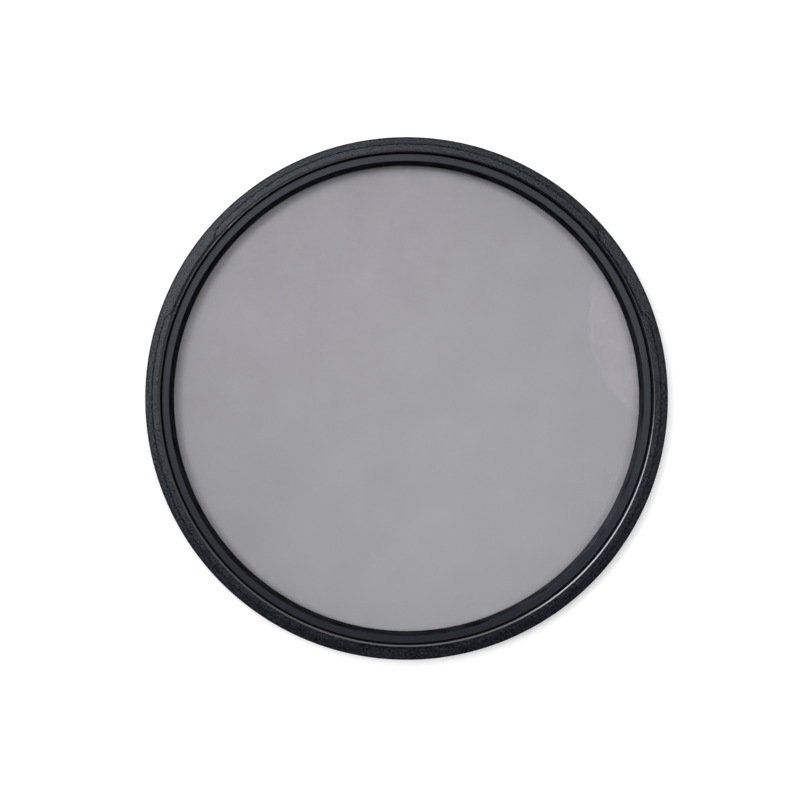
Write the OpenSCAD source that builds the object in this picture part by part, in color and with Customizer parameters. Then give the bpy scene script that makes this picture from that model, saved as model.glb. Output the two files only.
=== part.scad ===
// Circular polarizing filter for a camera lens, with M77 x 0.75 threads.
// The mount ring screws into the front of a lens. The front ring turns on it for ever, held
// by a split spring wire, and carries a cemented stack of glass, quarter-wave film, polarizing
// film and glass. A plain threaded ring, screwed down from the front, keeps the stack on its
// seat. All threads are plain cylinders: male ones and the seat of the plain ring lie at the
// major radius, and the front thread lies at its minor radius.
// All sizes are in millimetres. +Z points out of the front of the filter, and the origin is
// on the axis, at the rear end of the male thread, on which the filter rests.

/* [Threads] */
// Nominal diameter of the filter thread, at the rear and at the front
thread_d = 77; // [62:1:95]
// Pitch of both threads
pitch = 0.75; // [0.5:0.25:1]
// Length of the male thread, from the rear end to the flange
male_len = 2.1; // [1.8:0.1:3]
// Bevel that leads the male thread into the lens
male_lead = 0.35; // [0.2:0.05:0.5]
// Width of the run-out groove between the male thread and the flange
male_relief_w = 0.35; // [0.2:0.05:0.5]
// Depth of the front recess, from the rim down to the retaining ring
front_depth = 2.15; // [1.8:0.05:3.5]
// Bevel at the mouth of the front thread
front_bevel = 0.4; // [0.2:0.05:0.5]
// Gap between the front thread and the retaining ring
front_relief_w = 0.25; // [0.15:0.05:0.4]

/* [Mount ring] */
// How far the flange stands out past the male thread
flange_out = 1.6; // [1.3:0.1:3]
// Thickness of the web that joins the thread to the race
web_h = 0.5; // [0.4:0.05:1]
// Height of the race wall above the web
race_h = 1.5; // [1.3:0.05:2.5]
// Wall of the mount ring inside the male thread, down to its bore
mount_wall = 1.7; // [1.4:0.05:2.2]
// Bevel on the edges of the flange
flange_edge = 0.15; // [0.05:0.05:0.25]

/* [Front ring] */
// How far the grip stands out past the thread diameter
grip_out = 2; // [1.7:0.1:3.5]
// How far the raised rim stands out past the thread diameter
rim_out = 0.93; // [0.7:0.01:1.2]
// Height of the raised rim above the shoulder
rim_h = 0.8; // [0.4:0.05:1.2]
// Rounding of the shoulder's outer edge
shoulder_round = 0.22; // [0.1:0.01:0.4]
// Thickness of the lip that the glass lies on
lip_h = 0.42; // [0.3:0.01:0.8]
// Radial wall of the sleeve round the glass
sleeve_wall = 0.85; // [0.8:0.01:1]

/* [Scallops] */
// Number of scallops round the raised rim
scallops = 3; // [2:1:6]
// Depth of each scallop into the rim
scallop_depth = 0.56; // [0.2:0.01:0.6]
// Angle that the floor of one scallop spans
scallop_span = 19; // [10:1:40]
// Angle over which each end of a scallop runs out
scallop_run = 2; // [1:0.5:4]
// Direction of the first scallop, counter-clockwise from +X
scallop_turn = 30; // [0:1:119]

/* [Knurl] */
// Number of flutes round the grip
flutes = 216; // [120:12:300]
// Depth of each flute
flute_depth = 0.16; // [0.05:0.01:0.2]
// How far the crests of the flutes lie below the plain lands
knurl_sink = 0.06; // [0.05:0.01:0.1]
// Plain land above and below the knurl
knurl_land = 0.45; // [0.3:0.05:0.8]

/* [Glass stack] */
// Thickness of the rear glass and of the front glass
glass_t = 0.8; // [0.6:0.05:1.2]
// Thickness of the quarter-wave film
retarder_t = 0.1; // [0.05:0.01:0.2]
// Thickness of the polarizing film
polarizer_t = 0.2; // [0.1:0.01:0.3]
// Bevel on the edges of each glass
glass_edge = 0.08; // [0.02:0.01:0.15]

/* [Retaining ring] */
// Height of the retaining ring
ring_h = 0.85; // [0.6:0.05:1.2]
// Radial width of the ring's flat face
ring_flat = 1.07; // [0.8:0.01:1.3]
// Radial width of the bevel that runs down to the glass
ring_bevel = 0.73; // [0.4:0.01:0.9]
// Upright edge of the ring where it meets the glass
ring_land = 0.12; // [0.05:0.01:0.3]
// Height of the bevel from the flat face out to the ring's own thread
ring_lead = 0.4; // [0.2:0.05:0.5]

/* [Spring wire] */
// Diameter of the split wire between the two rings
wire_d = 0.5; // [0.3:0.05:0.6]
// Angle left open between the ends of the wire
wire_gap = 14; // [5:1:40]

/* [Fits] */
// Radial running clearance between the sleeve and the race
run_gap = 0.06; // [0.03:0.01:0.1]
// Gap between the two rings along the axis
end_gap = 0.08; // [0.05:0.01:0.15]
// Radial room round the glass in its pocket
glass_gap = 0.05; // [0.02:0.01:0.1]

/* [Hidden] */

$fn = 180;

// Radii of the ISO thread form
major_r = thread_d / 2;
root_r = major_r - 0.6134 * pitch;
minor_r = major_r - 0.5413 * pitch;

// Levels along the axis, from the rear end to the rim
race_floor_z = male_len + web_h;
flange_top_z = race_floor_z + race_h;
sleeve_z = race_floor_z + end_gap;
seat_z = sleeve_z + lip_h;
retarder_z = seat_z + glass_t;
polarizer_z = retarder_z + retarder_t;
front_glass_z = polarizer_z + polarizer_t;
stack_top_z = front_glass_z + glass_t;
ring_top_z = stack_top_z + ring_h;
rim_z = ring_top_z + front_depth;
shoulder_z = rim_z - rim_h;
grip_z = flange_top_z + end_gap;
wire_z = (sleeve_z + flange_top_z) / 2;

// Radii of the mount ring
bore_r = major_r - mount_wall;
bore_bevel = 0.2;
male_relief_r = root_r - 0.12;
flange_r = major_r + flange_out;
race_groove_d = 0.3;
race_groove_w = wire_d + 0.04;

// Radii of the front ring
ring_face_r = minor_r - 0.12;
ring_flat_r = ring_face_r - ring_flat;
clear_r = ring_flat_r - ring_bevel;
sleeve_r = major_r - 0.02;
race_r = sleeve_r + run_gap;
pocket_r = sleeve_r - sleeve_wall;
glass_r = pocket_r - glass_gap;
lip_r = clear_r + 0.22;
grip_r = major_r + grip_out;
rim_r = major_r + rim_out;
rim_edge = 0.1;
grip_edge = 0.2;
lead_edge = 0.15;
seat_r = major_r + 0.04;
sleeve_groove_d = 0.35;
sleeve_groove_w = wire_d + 0.2;
knurl_lo_z = grip_z + knurl_land;
knurl_hi_z = shoulder_z - knurl_land;
crest_r = grip_r - knurl_sink;
flute_r = crest_r - flute_depth;
flute_core_r = flute_r - 0.04;

// Point at radius r and angle a
function polar(r, a) = [r * cos(a), r * sin(a)];

// Points of an arc round [x, y]
function arc(x, y, r, from, to, steps) =
    [for (i = [0 : steps]) [x, y] + polar(r, from + (to - from) * i / steps)];

// Lathe-turned solid from a half section of [radius, height] points
module turned(points)
{
    rotate_extrude()
        polygon(points);
}

// Mount ring: male thread, web, flange and the race with its wire groove
module mount_ring()
{
    color([0.16, 0.16, 0.17])
        turned([
            [bore_r, bore_bevel],
            [bore_r + bore_bevel, 0],
            [major_r - male_lead, 0],
            [major_r, male_lead],
            [major_r, male_len - male_relief_w],
            [male_relief_r, male_len - male_relief_w],
            [male_relief_r, male_len],
            [flange_r - flange_edge, male_len],
            [flange_r, male_len + flange_edge],
            [flange_r, flange_top_z - flange_edge],
            [flange_r - flange_edge, flange_top_z],
            [race_r + lead_edge, flange_top_z],
            [race_r, flange_top_z - lead_edge],
            [race_r, wire_z + race_groove_w / 2],
            [race_r + race_groove_d, wire_z + race_groove_w / 2],
            [race_r + race_groove_d, wire_z - race_groove_w / 2],
            [race_r, wire_z - race_groove_w / 2],
            [race_r, race_floor_z],
            [bore_r, race_floor_z]
        ]);
}

// Split spring wire that lies half in the race and half in the sleeve's groove
module retaining_wire()
{
    color([0.72, 0.72, 0.74])
        translate([0, 0, wire_z])
        rotate([0, 0, wire_gap / 2 - 90])
        rotate_extrude(angle = 360 - wire_gap)
            translate([race_r, 0])
                circle(d = wire_d, $fn = 32);
}

// Half section of the front ring, with a plain grip under the knurl
module rotating_ring_body()
{
    turned(concat(
        [
            [lip_r, sleeve_z + bore_bevel],
            [lip_r + bore_bevel, sleeve_z],
            [sleeve_r - lead_edge, sleeve_z],
            [sleeve_r, sleeve_z + lead_edge],
            [sleeve_r, wire_z - sleeve_groove_w / 2],
            [sleeve_r - sleeve_groove_d, wire_z - sleeve_groove_w / 2],
            [sleeve_r - sleeve_groove_d, wire_z + sleeve_groove_w / 2],
            [sleeve_r, wire_z + sleeve_groove_w / 2],
            [sleeve_r, grip_z],
            [grip_r - grip_edge, grip_z],
            [grip_r, grip_z + grip_edge],
            [grip_r, knurl_lo_z],
            [flute_core_r, knurl_lo_z],
            [flute_core_r, knurl_hi_z],
            [grip_r, knurl_hi_z]
        ],
        arc(grip_r - shoulder_round, shoulder_z - shoulder_round, shoulder_round, 0, 90, 6),
        [
            [rim_r, shoulder_z],
            [rim_r, rim_z - rim_edge],
            [rim_r - rim_edge, rim_z],
            [minor_r + front_bevel, rim_z],
            [minor_r, rim_z - front_bevel],
            [minor_r, ring_top_z + front_relief_w],
            [seat_r, ring_top_z + front_relief_w],
            [seat_r, stack_top_z],
            [pocket_r, stack_top_z],
            [pocket_r, seat_z],
            [lip_r, seat_z]
        ]
    ));
}

// Belt of straight flutes that fills the waist of the grip
module knurl_belt()
{
    step = 360 / flutes;
    translate([0, 0, knurl_lo_z])
    linear_extrude(knurl_hi_z - knurl_lo_z)
    difference()
    {
        polygon([for (i = [0 : flutes - 1], j = [0, 1])
            polar(j == 0 ? crest_r : flute_r, (i + j / 2) * step)]);
        circle(r = flute_core_r - 0.5);
    }
}

// What one scallop takes out of the raised rim, down to the shoulder
module scallop_cut()
{
    floor_r = rim_r - scallop_depth;
    floor_a = scallop_span / 2;
    mouth_r = rim_r + scallop_depth;
    mouth_a = floor_a + 2 * scallop_run;
    difference()
    {
        translate([0, 0, shoulder_z])
        linear_extrude(rim_h + 1)
            polygon([
                polar(floor_r, -floor_a),
                polar(mouth_r, -mouth_a),
                [rim_r + 5, 0],
                polar(mouth_r, mouth_a),
                polar(floor_r, floor_a)
            ]);
        turned([
            [0, shoulder_z - 1],
            [floor_r, shoulder_z - 1],
            [floor_r, rim_z - rim_edge],
            [floor_r - rim_edge, rim_z],
            [floor_r - rim_edge, rim_z + 2],
            [0, rim_z + 2]
        ]);
    }
}

// Front ring: sleeve and lip for the glass, knurled grip, shoulder, scalloped rim, front thread
module rotating_ring()
{
    color([0.11, 0.11, 0.12])
    difference()
    {
        union()
        {
            rotating_ring_body();
            knurl_belt();
        }
        for (i = [0 : scallops - 1])
            rotate([0, 0, scallop_turn + i * 360 / scallops])
                scallop_cut();
    }
}

// Round glass with bevelled edges, from z upwards
module glass_disc(z)
{
    turned([
        [0, z],
        [glass_r - glass_edge, z],
        [glass_r, z + glass_edge],
        [glass_r, z + glass_t - glass_edge],
        [glass_r - glass_edge, z + glass_t],
        [0, z + glass_t]
    ]);
}

// Round film cut a little smaller than the glass
module film_disc(z, thickness)
{
    translate([0, 0, z])
        cylinder(r = glass_r - glass_edge, h = thickness);
}

// Glass on the side of the lens
module rear_glass()
{
    color([0.80, 0.80, 0.83, 0.4])
        glass_disc(seat_z);
}

// Stretched film that turns straight polarized light into circular
module quarter_wave_film()
{
    color([0.82, 0.82, 0.80, 0.5])
        film_disc(retarder_z, retarder_t);
}

// Grey film that polarizes the light
module polarizing_film()
{
    color([0.42, 0.42, 0.44, 0.6])
        film_disc(polarizer_z, polarizer_t);
}

// Glass on the side of the scene
module front_glass()
{
    color([0.80, 0.80, 0.83, 0.4])
        glass_disc(front_glass_z);
}

// Plain ring without spanner slots, screwed down on top of the glass
module retaining_ring()
{
    color([0.19, 0.19, 0.20])
        turned([
            [clear_r, stack_top_z],
            [major_r, stack_top_z],
            [major_r, ring_top_z - ring_lead],
            [ring_face_r, ring_top_z],
            [ring_flat_r, ring_top_z],
            [clear_r, stack_top_z + ring_land]
        ]);
}

mount_ring();
retaining_wire();
rotating_ring();
rear_glass();
quarter_wave_film();
polarizing_film();
front_glass();
retaining_ring();
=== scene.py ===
"""Looks of a circular polarizing filter: two black metal rings with real threads, a plain ring
over the glass, and a neutral grey stack of glass and films, lying on a pale table under soft
light. Shapes are worked out in millimetres and brought to metres when a piece is finished."""

import math

import bmesh
import bpy
from mathutils import Matrix, Vector


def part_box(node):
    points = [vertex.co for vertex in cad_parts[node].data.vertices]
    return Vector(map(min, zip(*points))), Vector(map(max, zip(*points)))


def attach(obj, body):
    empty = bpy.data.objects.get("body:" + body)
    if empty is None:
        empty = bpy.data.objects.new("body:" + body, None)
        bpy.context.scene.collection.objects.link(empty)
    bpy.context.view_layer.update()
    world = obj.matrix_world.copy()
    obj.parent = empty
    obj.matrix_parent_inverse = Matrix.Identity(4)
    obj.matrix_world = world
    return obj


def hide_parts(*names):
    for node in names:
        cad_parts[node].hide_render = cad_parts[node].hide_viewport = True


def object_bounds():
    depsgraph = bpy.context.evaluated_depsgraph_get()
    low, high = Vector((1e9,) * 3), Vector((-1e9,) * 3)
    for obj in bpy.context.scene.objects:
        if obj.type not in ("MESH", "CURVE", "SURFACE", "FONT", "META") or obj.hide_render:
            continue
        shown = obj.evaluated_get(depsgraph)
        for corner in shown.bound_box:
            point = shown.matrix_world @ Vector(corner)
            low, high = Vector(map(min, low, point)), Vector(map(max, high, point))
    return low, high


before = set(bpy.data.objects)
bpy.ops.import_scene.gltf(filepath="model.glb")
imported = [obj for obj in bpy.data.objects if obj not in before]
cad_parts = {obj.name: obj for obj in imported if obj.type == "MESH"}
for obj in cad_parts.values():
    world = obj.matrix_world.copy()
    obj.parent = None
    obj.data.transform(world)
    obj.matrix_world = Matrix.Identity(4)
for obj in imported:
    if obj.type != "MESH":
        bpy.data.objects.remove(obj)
CAD_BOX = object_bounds()

MM = 0.001
TURN = 2 * math.pi

# Levels and radii that the frame gives, in millimetres
RING_BOX = [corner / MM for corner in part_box("rotating_ring")]
MOUNT_BOX = [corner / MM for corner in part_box("mount_ring")]
KEEPER_BOX = [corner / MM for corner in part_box("retaining_ring")]
SLEEVE_Z = RING_BOX[0].z
RIM_Z = RING_BOX[1].z
GRIP_R = RING_BOX[1].x
FLANGE_TOP_Z = MOUNT_BOX[1].z
FLANGE_R = MOUNT_BOX[1].x
STACK_TOP_Z = KEEPER_BOX[0].z
KEEPER_TOP_Z = KEEPER_BOX[1].z
KEEPER_R = KEEPER_BOX[1].x

# The filter thread
MAJOR_R = 38.5
PITCH = 0.75
ROOT_R = MAJOR_R - 0.6134 * PITCH
MINOR_R = MAJOR_R - 0.5413 * PITCH
MALE_LEN = 2.1
MALE_LEAD = 0.35
MALE_RELIEF_W = 0.35
MALE_RELIEF_D = 0.12
MOUTH_BEVEL = 0.3
FRONT_RELIEF_W = 0.25
FLANK = math.radians(30)
TOOL_OVER = 0.05
TOOL_REACH = 0.5

# The mount ring
BORE_R = MAJOR_R - 1.7
FLOOR_Z = MALE_LEN + 0.5
RACE_R = MAJOR_R + 0.04
RACE_GROOVE_D = 0.3
RACE_LEAD = 0.15
BORE_BEVEL = 0.2
FLANGE_ROUND = 0.15

# The front ring
SLEEVE_R = MAJOR_R - 0.02
POCKET_R = SLEEVE_R - 0.85
LIP_R = MINOR_R - 1.7
SEAT_R = MAJOR_R + 0.04
SEAT_Z = SLEEVE_Z + 0.42
GRIP_Z = FLANGE_TOP_Z + 0.08
RIM_R = MAJOR_R + 0.93
SHOULDER_Z = RIM_Z - 0.8
SLEEVE_GROOVE_D = 0.35
RIM_FALL = 0.065
RIM_ROUND = 0.16
RIM_FOOT = 0.08
RIM_REACH = 0.15
SHOULDER_FALL = 0.08
SHOULDER_ROUND = 0.2
LIP_BEVEL = 0.2
SLEEVE_LEAD = 0.15
GRIP_BEVEL = 0.2
GRIP_BREAK = 0.03
BREAK = 0.02

# The split wire between the two rings, and the room for it in the sleeve and in the race
WIRE_D = 0.5
WIRE_Z = (SLEEVE_Z + FLANGE_TOP_Z) / 2
WIRE_GAP = math.radians(14)
WIRE_PLAY = 0.1
WIRE_SEAT = 0.02

# Scallops in the rim and flutes round the grip
SCALLOPS = 3
SCALLOP_DEPTH = 0.72
SCALLOP_FLOOR = math.radians(19)
SCALLOP_RUN = math.radians(2)
SCALLOP_TURN = math.radians(30)
FLUTES = 216
FLUTE_DEPTH = 0.16
CREST_R = GRIP_R - 0.06
KNURL_LAND = 0.45

# The ring over the glass
KEEPER_FACE_R = MINOR_R - 0.12
KEEPER_FLAT_R = KEEPER_FACE_R - 1.07
CLEAR_R = KEEPER_FLAT_R - 0.73
KEEPER_LAND = 0.12
KEEPER_LEAD = 0.4

# How finely things are turned
LATHE_STEPS = 4 * FLUTES
GLASS_STEPS = 360
SECTORS = 12
THREAD_STEPS = 240
RUN_OUT = 0.12
SHARP_ANGLE = math.radians(24)
HOLD = 0.02

# The glass and the films: the break on a pane's edge, and the air left on each face of a layer
PANE_BREAK = 0.07
LAYER_AIR = 0.004

# The photograph is PHOTO_PX across. In it the filter's centre is at CENTRE_PX and the radius
# of its grip is GRIP_PX, all in pixels. From here on, lengths are in metres.
PHOTO_PX = 800
CENTRE_PX = (406.55, 398.45)
GRIP_PX = 261.6
PIXEL = GRIP_R * MM / GRIP_PX
SENSOR_MM = 36.0
CAMERA_DISTANCE = 0.45
CAMERA_X = (PHOTO_PX / 2 - CENTRE_PX[0]) * PIXEL
CAMERA_Y = (CENTRE_PX[1] - PHOTO_PX / 2) * PIXEL

# The floor: half its width, its gap below the filter, its whiteness, and the light that it
# gives off towards mirrors and glass and towards the camera
FLOOR_HALF = 3.0
FLOOR_DROP = 0.00002
FLOOR_ALBEDO = 0.9
FLOOR_GLOW = 0.04
FLOOR_SEEN_GLOW = 0.26

# The room: its even light, the wall that is lit on one side and lies in shade on the other,
# and a window low down. Angles are in degrees: heights are above the horizon, and azimuths
# run counter-clockwise from +X, seen from above.
WORLD_LIGHT = 0.22
WALL_TOP = 30
WALL_FOOT = 8
WALL_LIGHT = 1.0
WALL_SHADE = 0.12
WALL_AZIMUTH = 110
WINDOW_LIGHT = 5.0
WINDOW_AZIMUTH = 146
WINDOW_EDGE = 32
WINDOW_CORE = 14

# Round soft lamps: name, azimuth, tilt from straight overhead, distance, width and power
LAMPS = [
    ("broad", 120, 8, 1.5, 0.748, 4.7),
    ("soft_edge", 120, 8, 1.45, 0.512, 2.1),
    ("soft_middle", 120, 8, 1.4, 0.394, 1.95),
    ("soft_core", 120, 8, 1.35, 0.284, 1.8),
    ("right", 15, 8, 1.5, 0.157, 3.05),
    ("left", 165, 12, 1.5, 0.157, 2.97),
]


class Socket:
    """A node's output, on which sums are written as plain expressions."""

    def __init__(self, nodes, output):
        self.nodes = nodes
        self.output = output

    def math(self, operation, a, b=0.0):
        return self.nodes.node("ShaderNodeMath", {"operation": operation}, {0: a, 1: b})

    def __add__(self, other):
        return self.math("ADD", self, other)

    def __sub__(self, other):
        return self.math("SUBTRACT", self, other)

    def __mul__(self, other):
        return self.math("MULTIPLY", self, other)

    def __rsub__(self, other):
        return self.math("SUBTRACT", other, self)

    __radd__ = __add__
    __rmul__ = __mul__

    def root(self):
        return self.math("SQRT", self)

    def arc(self, other):
        return self.math("ARCTAN2", self, other)

    def rise(self, low, high):
        """0 below low, 1 above high, and a smooth way between. With high below low it falls."""
        return self.nodes.node(
            "ShaderNodeMapRange",
            {"interpolation_type": "SMOOTHSTEP"},
            {"Value": self, "From Min": low, "From Max": high},
        )


class Nodes:
    """A node tree that is being written, node by node."""

    def __init__(self, owner):
        owner.use_nodes = True
        self.tree = owner.node_tree
        self.tree.nodes.clear()

    def node(self, kind, settings=None, inputs=None, output=0):
        """Adds any node: its settings first, then the values or links of its sockets."""
        made = self.tree.nodes.new(kind)
        for key, value in (settings or {}).items():
            setattr(made, key, value)
        for key, value in (inputs or {}).items():
            if isinstance(value, Socket):
                self.tree.links.new(value.output, made.inputs[key])
            else:
                made.inputs[key].default_value = value
        return Socket(self, made.outputs[output]) if made.outputs else None


class Paint(Nodes):
    """A material, with the radius from the filter's axis and the height at hand."""

    def __init__(self, name):
        self.material = bpy.data.materials.new(name)
        super().__init__(self.material)
        self.place = self.node("ShaderNodeTexCoord", output="Object")
        self.x, self.y, self.z = (
            self.node("ShaderNodeSeparateXYZ", inputs={"Vector": self.place}, output=axis)
            for axis in "XYZ"
        )
        self.r = (self.x * self.x + self.y * self.y).root()

    def noise(self, size_mm, detail=2.0, roughness=0.5, at=None):
        """Soft grains about size_mm across, from 0 to 1."""
        return self.node(
            "ShaderNodeTexNoise",
            {"noise_dimensions": "3D"},
            {
                "Vector": at or self.place,
                "Scale": 1 / (size_mm * MM),
                "Detail": detail,
                "Roughness": roughness,
            },
            output=0,
        )

    def turning(self, pitch_mm):
        """Fine lines left by the lathe: they follow radius and height, and hardly the angle."""
        lines = self.node(
            "ShaderNodeCombineXYZ",
            inputs={"X": self.r, "Y": self.z, "Z": self.y.arc(self.x) * (2 * MM)},
        )
        return self.noise(pitch_mm, 3.0, 0.6, at=lines)

    def mix(self, share, first, second):
        """A colour between two colours, by a share from 0 to 1."""
        return self.node(
            "ShaderNodeMix",
            {"data_type": "RGBA", "clamp_factor": True},
            {0: share, 6: first, 7: second},
            output=2,
        )

    def bump(self, height, strength, distance_mm):
        return self.node(
            "ShaderNodeBump",
            inputs={"Height": height, "Strength": strength, "Distance": distance_mm * MM},
        )

    def finish(self, surface):
        self.node("ShaderNodeOutputMaterial", inputs={"Surface": surface})
        return self.material


def blasted_black():
    """Black anodised aluminium, bead-blasted: fine grains that glint, and edges rubbed paler.
    In the knurl, painted shade darkens the valleys of the flutes, and the crests are paler,
    partly as wear."""
    p = Paint("blasted_black")
    fine = p.noise(0.27, 2.0, 0.6)
    coarse = p.noise(0.8, 2.0, 0.5)
    patches = p.noise(9.0, 2.0, 0.5)
    grain = fine * 0.86 + coarse * 0.14
    # The bevel of the thread's mouth, where the bare metal shows
    mouth = (p.r.rise((MINOR_R + 0.05) * MM, (MINOR_R + 0.09) * MM)
             * p.r.rise((MINOR_R + MOUTH_BEVEL + 0.03) * MM, (MINOR_R + MOUTH_BEVEL - 0.02) * MM)
             * p.z.rise((RIM_Z - 0.34) * MM, (RIM_Z - 0.28) * MM))
    rubbed = p.z.rise((RIM_Z - 0.12) * MM, RIM_Z * MM) * p.noise(1.4, 3.0, 0.6).rise(0.5, 0.75)
    grain_tone = grain.rise(0.38, 0.64)
    colour = p.mix(grain_tone, (0.0003, 0.0004, 0.001, 1), (0.011, 0.013, 0.0205, 1))
    colour = p.mix(rubbed * 0.3, colour, (0.03, 0.031, 0.034, 1))
    # The knurled belt, between its two plain lands. Painted shade makes the flute valleys near
    #     # black, and the crests are paler, partly as wear
    belt = (p.z.rise((GRIP_Z + KNURL_LAND - 0.02) * MM, (GRIP_Z + KNURL_LAND) * MM)
            * p.z.rise((SHOULDER_Z - KNURL_LAND + 0.02) * MM, (SHOULDER_Z - KNURL_LAND) * MM)
            * p.r.rise((CREST_R + 0.04) * MM, (CREST_R + 0.02) * MM)
            * p.r.rise((CREST_R - FLUTE_DEPTH - 0.04) * MM, (CREST_R - FLUTE_DEPTH - 0.02) * MM))
    crest_wear_and_valley_shade = p.r.rise((CREST_R - FLUTE_DEPTH) * MM, (CREST_R - 0.01) * MM)
    ribs_painted_valley_shade = p.mix(crest_wear_and_valley_shade, (0.0004, 0.0005, 0.001, 1), (0.034, 0.036, 0.043, 1))
    colour = p.mix(belt * 0.85, colour, ribs_painted_valley_shade)
    colour = p.mix(mouth, colour, (0.14, 0.143, 0.153, 1))
    return p.finish(p.node("ShaderNodeBsdfPrincipled", inputs={
        "Base Color": colour,
        "Metallic": mouth * 0.85,
        "Roughness": 0.17 + grain * 0.08 + patches * 0.04 + mouth * 0.03,
        "Normal": p.bump(grain * (1 - mouth), 1.0, 0.035),
        "Specular IOR Level": 0.088,
        "Specular Tint": (0.86, 0.93, 1.0, 1),
    }))


def turned_black(name, pale, dark, roughness, line_mm):
    """Black anodised aluminium straight from the lathe, with its fine turning lines."""
    p = Paint(name)
    lines = p.turning(line_mm)
    cloud = p.noise(6.0, 2.0, 0.5)
    colour = p.mix(lines.rise(0.25, 0.8), dark, pale)
    return p.finish(p.node("ShaderNodeBsdfPrincipled", inputs={
        "Base Color": colour,
        "Roughness": roughness + lines * 0.1 + cloud * 0.06,
        "Normal": p.bump(lines, 0.25, 0.02),
        "Specular IOR Level": 0.14,
    }))


def keeper_black():
    """The ring over the glass: satin on its flat face, deep matt black down its bevel, and
    painted shade on the chamfer at its outer edge, in the gap against the thread.
    """
    p = Paint("keeper_black")
    lines = p.turning(0.09)
    cloud = p.noise(5.0, 2.0, 0.5)
    face = (p.r.rise((KEEPER_FLAT_R - 0.03) * MM, (KEEPER_FLAT_R + 0.01) * MM)
            * p.r.rise((KEEPER_FACE_R + 0.02) * MM, (KEEPER_FACE_R - 0.02) * MM))
    satin = p.mix(lines.rise(0.25, 0.8), (0.0085, 0.0097, 0.015, 1), (0.0135, 0.015, 0.022, 1))
    matt = p.mix(p.turning(0.22).rise(0.34, 0.62), (0.004, 0.0044, 0.006, 1),
                 (0.03, 0.033, 0.038, 1))
    # Painted shade: the chamfer at the outer edge, down in the gap against the front thread, is
    # made darker still
    painted_gap_shade = p.r.rise((KEEPER_FACE_R - 0.01) * MM, (KEEPER_FACE_R + 0.03) * MM)
    matt = p.mix(painted_gap_shade, matt, (0.0015, 0.0016, 0.002, 1))
    return p.finish(p.node("ShaderNodeBsdfPrincipled", inputs={
        "Base Color": p.mix(face, matt, satin),
        "Metallic": 1 - face,
        "Roughness": 0.45 - face * 0.26 + lines * 0.06 + cloud * 0.04,
        "Normal": p.bump(lines, 0.2, 0.01),
        "Specular IOR Level": 0.045,
        "Specular Tint": (0.86, 0.93, 1.0, 1),
    }))


def spring_steel():
    """Drawn steel wire, with fine lines along it."""
    p = Paint("spring_steel")
    lines = p.turning(0.05)
    return p.finish(p.node("ShaderNodeBsdfPrincipled", inputs={
        "Base Color": p.mix(lines, (0.42, 0.42, 0.43, 1), (0.6, 0.6, 0.61, 1)),
        "Metallic": 1.0,
        "Roughness": 0.25 + lines * 0.15,
        "Normal": p.bump(lines, 0.2, 0.01),
    }))


def coated_glass():
    """Polished, coated glass: clear, with a faint bloom and the least trace of wipe marks."""
    p = Paint("coated_glass")
    bloom = p.noise(3.2, 4.0, 0.6)
    return p.finish(p.node("ShaderNodeBsdfPrincipled", inputs={
        "Base Color": p.mix(bloom, (0.965, 0.965, 0.975, 1), (0.995, 0.99, 1.0, 1)),
        "Roughness": 0.0,
        "Coat Weight": bloom.rise(0.4, 0.9) * 0.12,
        "Coat Roughness": 0.03,
        "Coat IOR": 1.12,
        "Transmission Weight": 1.0,
        "Specular Tint": (0.8, 0.72, 1.0, 1),
        "IOR": 1.05,
    }))


def film(name, thick, thin):
    """Cemented film: no mirror of its own, only a tint, a little uneven from place to place."""
    p = Paint(name)
    return p.finish(p.node("ShaderNodeMixShader", inputs={
        0: p.noise(7.0, 3.0, 0.6).rise(0.2, 0.8),
        1: p.node("ShaderNodeBsdfTransparent", inputs={"Color": thick}),
        2: p.node("ShaderNodeBsdfTransparent", inputs={"Color": thin}),
    }))


def ground(name, albedo, glow, seen_glow):
    """A pale floor that keeps the filter's shadow and that a camera sees as white."""
    p = Paint(name)
    mottle = p.noise(30.0, 3.0, 0.5)
    tone = p.mix(mottle, [albedo * 0.985] * 3 + [1], [albedo] * 3 + [1])
    lit = p.node("ShaderNodeBsdfPrincipled", inputs={
        "Base Color": tone, "Roughness": 0.9, "Specular IOR Level": 0.0})
    seen = p.node("ShaderNodeLightPath", output="Is Camera Ray")
    mirrored = p.node("ShaderNodeLightPath", output="Is Glossy Ray")
    passed = p.node("ShaderNodeLightPath", output="Is Transmission Ray")
    beyond = p.node("ShaderNodeMath", {"operation": "ADD", "use_clamp": True},
                    {0: mirrored, 1: passed})
    glowing = p.node("ShaderNodeEmission", inputs={
        "Strength": beyond * glow + seen * (1 - beyond) * seen_glow})
    return p.finish(p.node("ShaderNodeAddShader", inputs={0: lit, 1: glowing}))


def add_object(name, mesh):
    piece = bpy.data.objects.new(name, mesh)
    bpy.context.scene.collection.objects.link(piece)
    return piece


def to_mesh(bm, name):
    """Writes a bmesh to a new mesh."""
    mesh = bpy.data.meshes.new(name)
    bm.to_mesh(mesh)
    bm.free()
    return mesh


def hold_flats(bm):
    """Puts a corner just inside each end of a straight stretch that runs into a rounding, so
    that the soft shade of the rounding stays out of the flat."""
    for edge in bm.edges[:]:
        for end in [v for v in edge.verts if v.calc_edge_angle() < SHARP_ANGLE]:
            length = edge.calc_length()
            if length > 5 * HOLD:
                _, corner = bmesh.utils.edge_split(edge, end, HOLD / length)
                edge = max(corner.link_edges, key=lambda e: e.calc_length())


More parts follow.
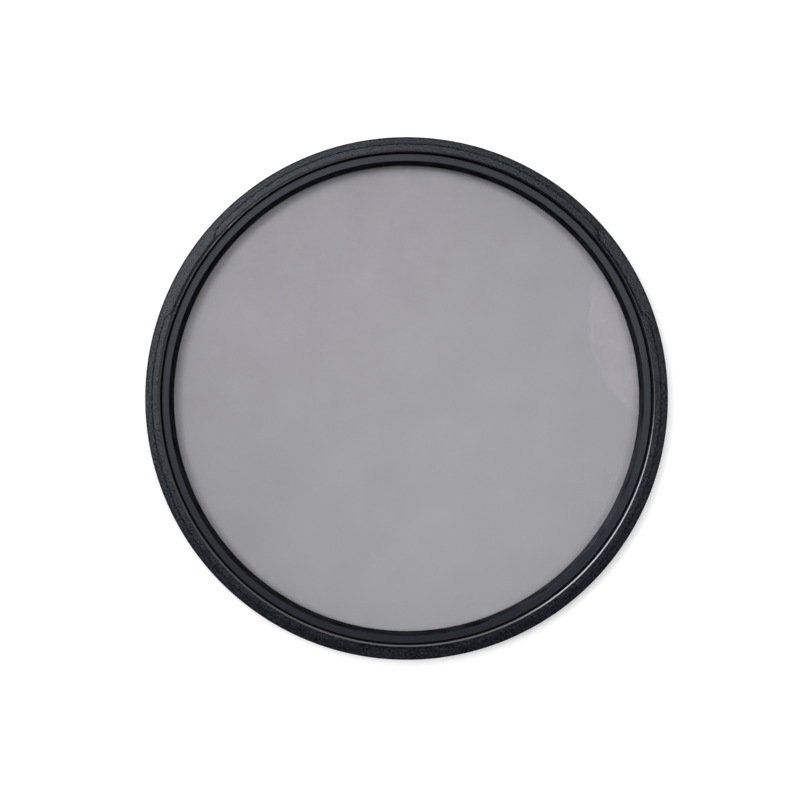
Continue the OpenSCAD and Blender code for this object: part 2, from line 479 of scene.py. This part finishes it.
def spin_section(section, steps=LATHE_STEPS):
    """Turns a closed section of (radius, height, rounding) corners round the axis: one sector
    is spun, and its copies close the circle."""
    bm = bmesh.new()
    corners = [bm.verts.new((r, 0, z)) for r, z, _ in section]
    bm.faces.new(corners)
    for corner, (_, _, rounding) in zip(corners, section):
        if rounding:
            bmesh.ops.bevel(bm, geom=[corner], offset=rounding, affect="VERTICES",
                            segments=4, profile=0.5, material=-1)
    bmesh.ops.delete(bm, geom=bm.faces[:], context="FACES_ONLY")
    hold_flats(bm)
    bmesh.ops.spin(bm, geom=bm.verts[:] + bm.edges[:], cent=(0, 0, 0), axis=(0, 0, 1),
                   angle=TURN / SECTORS, steps=steps // SECTORS)
    sector = bm.verts[:] + bm.edges[:] + bm.faces[:]
    for i in range(1, SECTORS):
        copy = bmesh.ops.duplicate(bm, geom=sector)["geom"]
        bmesh.ops.rotate(bm, verts=[v for v in copy if isinstance(v, bmesh.types.BMVert)],
                         cent=(0, 0, 0), matrix=Matrix.Rotation(i * TURN / SECTORS, 3, "Z"))
    bmesh.ops.remove_doubles(bm, verts=bm.verts[:], dist=0.0005)
    bmesh.ops.recalc_face_normals(bm, faces=bm.faces[:])
    return bm


def slide_out(vert, distance):
    """Moves a corner away from the axis, or towards it when the distance is negative."""
    away = Vector((vert.co.x, vert.co.y, 0)).normalized()
    vert.co += away * distance


def thread_tool(name, open_r, root_r, mouth_w, root_w, low_z, high_z, run_out_low, run_out_high):
    """A helical cutter with a flat-ended V section. It draws back over its first or last turn
    part, as the tool of a lathe does, so that the groove runs out instead of stopping."""
    bm = bmesh.new()
    section = [(open_r, -mouth_w / 2), (root_r, -root_w / 2),
               (root_r, root_w / 2), (open_r, mouth_w / 2)]
    corners = [bm.verts.new((r, 0, low_z + z)) for r, z in section]
    for i in range(4):
        bm.edges.new((corners[i], corners[(i + 1) % 4]))
    turns = (high_z - low_z) / PITCH
    steps = round(turns * THREAD_STEPS)
    bmesh.ops.spin(bm, geom=bm.verts[:] + bm.edges[:], cent=(0, 0, 0), axis=(0, 0, 1),
                   dvec=(0, 0, PITCH * turns / steps), angle=turns * TURN, steps=steps)
    bmesh.ops.holes_fill(bm, edges=[e for e in bm.edges if e.is_boundary], sides=4)
    back = (open_r - root_r) * 1.15
    for vert in bm.verts:
        part = (math.atan2(vert.co.y, vert.co.x) / TURN) % 1.0
        whole = round((vert.co.z - low_z) / PITCH - part)
        turn = whole + part
        gone = 0.0
        if run_out_low:
            gone = max(gone, 1 - turn / RUN_OUT)
        if run_out_high:
            gone = max(gone, 1 - (turns - turn) / RUN_OUT)
        slide_out(vert, back * min(1.0, gone))
    bmesh.ops.recalc_face_normals(bm, faces=bm.faces[:])
    return add_object(name, to_mesh(bm, name))


def cut(piece, tool):
    """Takes the tool's shape out of the piece, and throws the tool away."""
    cutting = piece.modifiers.new("cut", "BOOLEAN")
    cutting.operation = "DIFFERENCE"
    cutting.solver = "MANIFOLD"
    cutting.object = tool
    bpy.context.view_layer.update()
    mesh = bpy.data.meshes.new_from_object(piece.evaluated_get(
        bpy.context.evaluated_depsgraph_get()))
    piece.modifiers.clear()
    piece.data = mesh
    bpy.data.objects.remove(tool)


def finish_piece(piece, material, body, node):
    """Brings a piece to metres, shades it, and has it stand for its CAD node."""
    piece.data.transform(Matrix.Scale(MM, 4))
    piece.data.materials.clear()
    piece.data.materials.append(material)
    piece.data.shade_smooth()
    piece.data.set_sharp_from_angle(angle=SHARP_ANGLE)
    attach(piece, body)
    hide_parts(node)
    return piece


def scallop_share(angle):
    """How deep a scallop is at this angle round the rim, from 0 outside to 1 on its floor."""
    between = TURN / SCALLOPS
    off = (angle - SCALLOP_TURN + between / 2) % between - between / 2
    return min(1.0, max(0.0, (SCALLOP_FLOOR / 2 + SCALLOP_RUN - abs(off)) / SCALLOP_RUN))


def flute_share(angle):
    """How deep a flute is at this angle round the grip, from 0 on a crest to 1 in a valley."""
    along = (angle / TURN * FLUTES) % 1.0
    return 1 - abs(2 * along - 1)


def make_front_ring():
    half = WIRE_D / 2 + WIRE_PLAY
    knurl_low = GRIP_Z + KNURL_LAND
    knurl_high = SHOULDER_Z - KNURL_LAND
    bm = spin_section([
        (LIP_R, SLEEVE_Z + LIP_BEVEL, BREAK),
        (LIP_R + LIP_BEVEL, SLEEVE_Z, BREAK),
        (SLEEVE_R - SLEEVE_LEAD, SLEEVE_Z, 0),
        (SLEEVE_R, SLEEVE_Z + SLEEVE_LEAD, 0),
        (SLEEVE_R, WIRE_Z - half, 0),
        (SLEEVE_R - SLEEVE_GROOVE_D, WIRE_Z - half, 0),
        (SLEEVE_R - SLEEVE_GROOVE_D, WIRE_Z + half, 0),
        (SLEEVE_R, WIRE_Z + half, 0),
        (SLEEVE_R, GRIP_Z, 0),
        (GRIP_R - GRIP_BEVEL, GRIP_Z, GRIP_BREAK),
        (GRIP_R, GRIP_Z + GRIP_BEVEL, GRIP_BREAK),
        (GRIP_R, knurl_low, 0),
        (CREST_R, knurl_low, 0),
        (CREST_R, knurl_high, 0),
        (GRIP_R, knurl_high, 0),
        (GRIP_R, SHOULDER_Z - SHOULDER_FALL, SHOULDER_ROUND),
        (RIM_R, SHOULDER_Z, RIM_FOOT),
        (RIM_R, RIM_Z - RIM_FALL, RIM_ROUND),
        (MINOR_R + MOUTH_BEVEL, RIM_Z, BREAK),
        (MINOR_R, RIM_Z - MOUTH_BEVEL, 0.015),
        (MINOR_R, KEEPER_TOP_Z + FRONT_RELIEF_W, 0),
        (SEAT_R, KEEPER_TOP_Z + FRONT_RELIEF_W, 0),
        (SEAT_R, STACK_TOP_Z, 0),
        (POCKET_R, STACK_TOP_Z, 0),
        (POCKET_R, SEAT_Z, 0),
        (LIP_R, SEAT_Z, 0),
    ])
    for vert in bm.verts:
        angle = math.atan2(vert.co.y, vert.co.x)
        radius = math.hypot(vert.co.x, vert.co.y)
        near_rim = radius > RIM_R - RIM_ROUND - 2 * HOLD and vert.co.z > SHOULDER_Z - 0.01
        if near_rim and radius < RIM_R + RIM_REACH:
            slide_out(vert, -SCALLOP_DEPTH * scallop_share(angle))
        elif abs(radius - CREST_R) < 0.001:
            slide_out(vert, -FLUTE_DEPTH * flute_share(angle))
    ring = add_object("front_ring", to_mesh(bm, "front_ring"))
    mouth_w = 0.75 * PITCH + 2 * TOOL_OVER * math.tan(FLANK)
    cut(ring, thread_tool("front_thread_tool", MINOR_R - TOOL_OVER, MAJOR_R, mouth_w, PITCH / 8,
                          KEEPER_TOP_Z + mouth_w / 2 + 0.02, RIM_Z + TOOL_REACH, True, False))
    return finish_piece(ring, blasted_black(), "rotator", "rotating_ring")


def make_mount_ring():
    half = WIRE_D / 2 + WIRE_SEAT
    relief_r = ROOT_R - MALE_RELIEF_D
    bm = spin_section([
        (BORE_R, BORE_BEVEL, BREAK),
        (BORE_R + BORE_BEVEL, 0, BREAK),
        (MAJOR_R - MALE_LEAD, 0, BREAK),
        (MAJOR_R, MALE_LEAD, 0),
        (MAJOR_R, MALE_LEN - MALE_RELIEF_W, 0),
        (relief_r, MALE_LEN - MALE_RELIEF_W, 0),
        (relief_r, MALE_LEN, 0),
        (FLANGE_R, MALE_LEN, FLANGE_ROUND),
        (FLANGE_R, FLANGE_TOP_Z, FLANGE_ROUND),
        (RACE_R + RACE_LEAD, FLANGE_TOP_Z, BREAK),
        (RACE_R, FLANGE_TOP_Z - RACE_LEAD, 0),
        (RACE_R, WIRE_Z + half, 0),
        (RACE_R + RACE_GROOVE_D, WIRE_Z + half, 0),
        (RACE_R + RACE_GROOVE_D, WIRE_Z - half, 0),
        (RACE_R, WIRE_Z - half, 0),
        (RACE_R, FLOOR_Z, 0),
        (BORE_R, FLOOR_Z, 0),
    ])
    ring = add_object("lens_mount_ring", to_mesh(bm, "lens_mount_ring"))
    mouth_w = 0.875 * PITCH + 2 * TOOL_OVER * math.tan(FLANK)
    cut(ring, thread_tool("male_thread_tool", MAJOR_R + TOOL_OVER, ROOT_R, mouth_w, PITCH / 6,
                          -TOOL_REACH, MALE_LEN - mouth_w / 2 - 0.01, False, True))
    satin = turned_black("mount_black", (0.016, 0.017, 0.02, 1), (0.009, 0.0095, 0.0115, 1),
                         0.34, 0.12)
    return finish_piece(ring, satin, "mount", "mount_ring")


def make_keeper_ring():
    bm = spin_section([
        (CLEAR_R, STACK_TOP_Z, 0),
        (KEEPER_R, STACK_TOP_Z, 0),
        (KEEPER_R, KEEPER_TOP_Z - KEEPER_LEAD, 0),
        (KEEPER_FACE_R, KEEPER_TOP_Z, 0.03),
        (KEEPER_FLAT_R, KEEPER_TOP_Z, 0.025),
        (CLEAR_R, STACK_TOP_Z + KEEPER_LAND, 0.02),
    ], steps=GLASS_STEPS)
    ring = add_object("keeper_ring", to_mesh(bm, "keeper_ring"))
    return finish_piece(ring, keeper_black(), "rotator", "retaining_ring")


def make_wire():
    """Split round wire: a small circle turned round the axis, short of a full turn."""
    bm = bmesh.new()
    bmesh.ops.create_circle(bm, cap_ends=False, radius=WIRE_D / 2, segments=24,
                            matrix=Matrix.Translation((RACE_R, 0, WIRE_Z))
                            @ Matrix.Rotation(math.pi / 2, 4, "X"))
    bmesh.ops.spin(bm, geom=bm.verts[:] + bm.edges[:], cent=(0, 0, 0), axis=(0, 0, 1),
                   angle=TURN - WIRE_GAP, steps=GLASS_STEPS)
    ends = bmesh.ops.holes_fill(bm, edges=[e for e in bm.edges if e.is_boundary], sides=24)
    bmesh.ops.bevel(bm, geom=[e for f in ends["faces"] for e in f.edges], offset=0.06,
                    affect="EDGES", segments=2, profile=0.5, material=-1)
    bmesh.ops.rotate(bm, verts=bm.verts[:], cent=(0, 0, 0),
                     matrix=Matrix.Rotation(WIRE_GAP / 2 - math.pi / 2, 3, "Z"))
    bmesh.ops.recalc_face_normals(bm, faces=bm.faces[:])
    wire = add_object("race_wire", to_mesh(bm, "race_wire"))
    return finish_piece(wire, spring_steel(), "mount", "retaining_wire")


def make_layer(name, node, material, edge, darkens):
    """A round layer of the stack, from its CAD node's box, with its edge rounded off. It is a
    hair thinner than its node, so that two layers never share one surface."""
    low, high = (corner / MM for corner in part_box(node))
    bm = bmesh.new()
    bmesh.ops.create_circle(bm, cap_ends=True, radius=high.x, segments=GLASS_STEPS,
                            matrix=Matrix.Translation((0, 0, low.z + LAYER_AIR)))
    raised = bmesh.ops.extrude_face_region(bm, geom=bm.faces[:])["geom"]
    bmesh.ops.translate(bm, verts=[v for v in raised if isinstance(v, bmesh.types.BMVert)],
                        vec=(0, 0, high.z - low.z - 2 * LAYER_AIR))
    bmesh.ops.recalc_face_normals(bm, faces=bm.faces[:])
    if edge:
        rims = [e for e in bm.edges if abs(e.verts[0].co.z - e.verts[1].co.z) < LAYER_AIR / 2]
        bmesh.ops.bevel(bm, geom=rims, offset=edge, affect="EDGES", segments=1,
                        profile=0.5, material=-1)
    layer = add_object(name, to_mesh(bm, name))
    layer.visible_shadow = darkens
    layer.visible_diffuse = darkens
    return finish_piece(layer, material, "rotator", node)


def make_floor():
    bm = bmesh.new()
    bmesh.ops.create_grid(bm, x_segments=1, y_segments=1, size=FLOOR_HALF)
    floor = add_object("table_top", to_mesh(bm, "table_top"))
    floor.location.z = CAD_BOX[0][2] - FLOOR_DROP
    floor.data.materials.append(ground("pale_table", FLOOR_ALBEDO, FLOOR_GLOW, FLOOR_SEEN_GLOW))


def add_lamp(name, azimuth, tilt, distance, width, watts):
    """A round soft lamp aimed at the filter, at an azimuth and a tilt in degrees."""
    lamp = bpy.data.lights.new(name, "AREA")
    lamp.shape = "DISK"
    lamp.size = width
    lamp.energy = watts
    thing = bpy.data.objects.new(name, lamp)
    a, t = math.radians(azimuth), math.radians(tilt)
    thing.location = Vector((math.cos(a) * math.sin(t), math.sin(a) * math.sin(t),
                             math.cos(t))) * distance
    thing.rotation_euler = thing.location.to_track_quat("Z", "Y").to_euler()
    bpy.context.scene.collection.objects.link(thing)


def light_studio():
    world = bpy.data.worlds.new("studio")
    bpy.context.scene.world = world
    n = Nodes(world)
    way = n.node("ShaderNodeTexCoord", output="Generated")
    height = n.node("ShaderNodeSeparateXYZ", inputs={"Vector": way}, output="Z")

    def towards(azimuth):
        a = math.radians(azimuth)
        return n.node("ShaderNodeVectorMath", {"operation": "DOT_PRODUCT"},
                      {0: way, 1: (math.cos(a), math.sin(a), 0)}, output="Value")

    low = height.rise(math.sin(math.radians(WALL_TOP)), math.sin(math.radians(WALL_FOOT)))
    side = (towards(WALL_AZIMUTH) + 1) * 0.5
    walls = side * side * WALL_LIGHT + WALL_SHADE
    window = towards(WINDOW_AZIMUTH).rise(math.cos(math.radians(WINDOW_EDGE)),
                                          math.cos(math.radians(WINDOW_CORE)))
    light = low * (walls - WORLD_LIGHT) + window * WINDOW_LIGHT + WORLD_LIGHT
    seen = n.node("ShaderNodeLightPath", output="Is Camera Ray")
    n.node("ShaderNodeOutputWorld", inputs={"Surface": n.node("ShaderNodeBackground", inputs={
        "Color": (1, 1, 1, 1), "Strength": light * (1 - seen) + seen})})
    for lamp in LAMPS:
        add_lamp(*lamp)


def place_camera():
    """Stands straight over the filter and takes in what the photograph shows."""
    camera = bpy.data.cameras.new("camera")
    camera.sensor_width = SENSOR_MM
    camera.lens = SENSOR_MM * CAMERA_DISTANCE / (PHOTO_PX * PIXEL)
    thing = bpy.data.objects.new("camera", camera)
    thing.location = (CAMERA_X, CAMERA_Y, SHOULDER_Z * MM + CAMERA_DISTANCE)
    bpy.context.scene.collection.objects.link(thing)
    bpy.context.scene.camera = thing


place_camera()
make_front_ring()
make_mount_ring()
make_keeper_ring()
make_wire()
clear = coated_glass()
make_layer("front_pane", "front_glass", clear, PANE_BREAK, False)
make_layer("rear_pane", "rear_glass", clear, PANE_BREAK, False)
make_layer("polarizer_sheet", "polarizing_film",
           film("grey_film", (0.782, 0.78, 0.788, 1), (0.79, 0.789, 0.797, 1)),
           0, True)
make_layer("retarder_sheet", "quarter_wave_film",
           film("clear_film", (0.985, 0.985, 0.98, 1), (0.995, 0.995, 0.99, 1)),
           0, False)
make_floor()
light_studio()

bpy.context.scene.view_settings.view_transform = "Standard"
bpy.context.view_layer.update()
